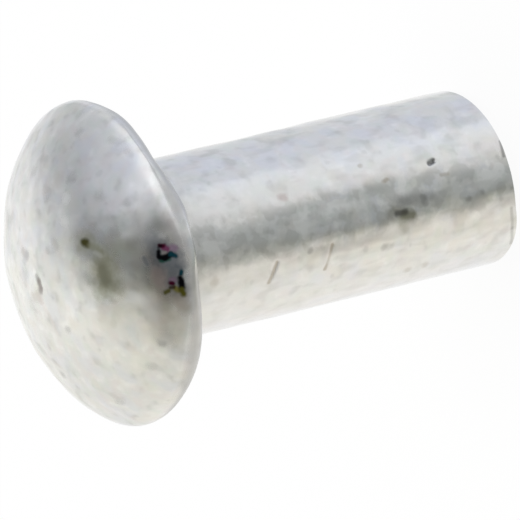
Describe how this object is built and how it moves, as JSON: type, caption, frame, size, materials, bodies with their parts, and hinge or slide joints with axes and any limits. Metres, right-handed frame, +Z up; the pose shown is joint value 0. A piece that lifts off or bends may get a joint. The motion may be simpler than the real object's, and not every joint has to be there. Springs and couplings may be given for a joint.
{
  "type": "round head rivet",
  "caption": "Solid aluminium rivet with a domed round head and a plain cylindrical shank, set by upsetting its tail.",
  "frame": {"origin": "centre of the sheared tail face, on which the rivet stands", "axes": "+Z up the shank's axis towards the crown of the head; X and Y are free, the solid is turned about Z"},
  "size_m": [0.0072, 0.0072, 0.0113],
  "materials": {
    "aluminium": "tumbled satin, as headed, with light handling marks"
  },
  "bodies": {
    "root": {"rivet": "aluminium"}
  },
  "joints": []
}
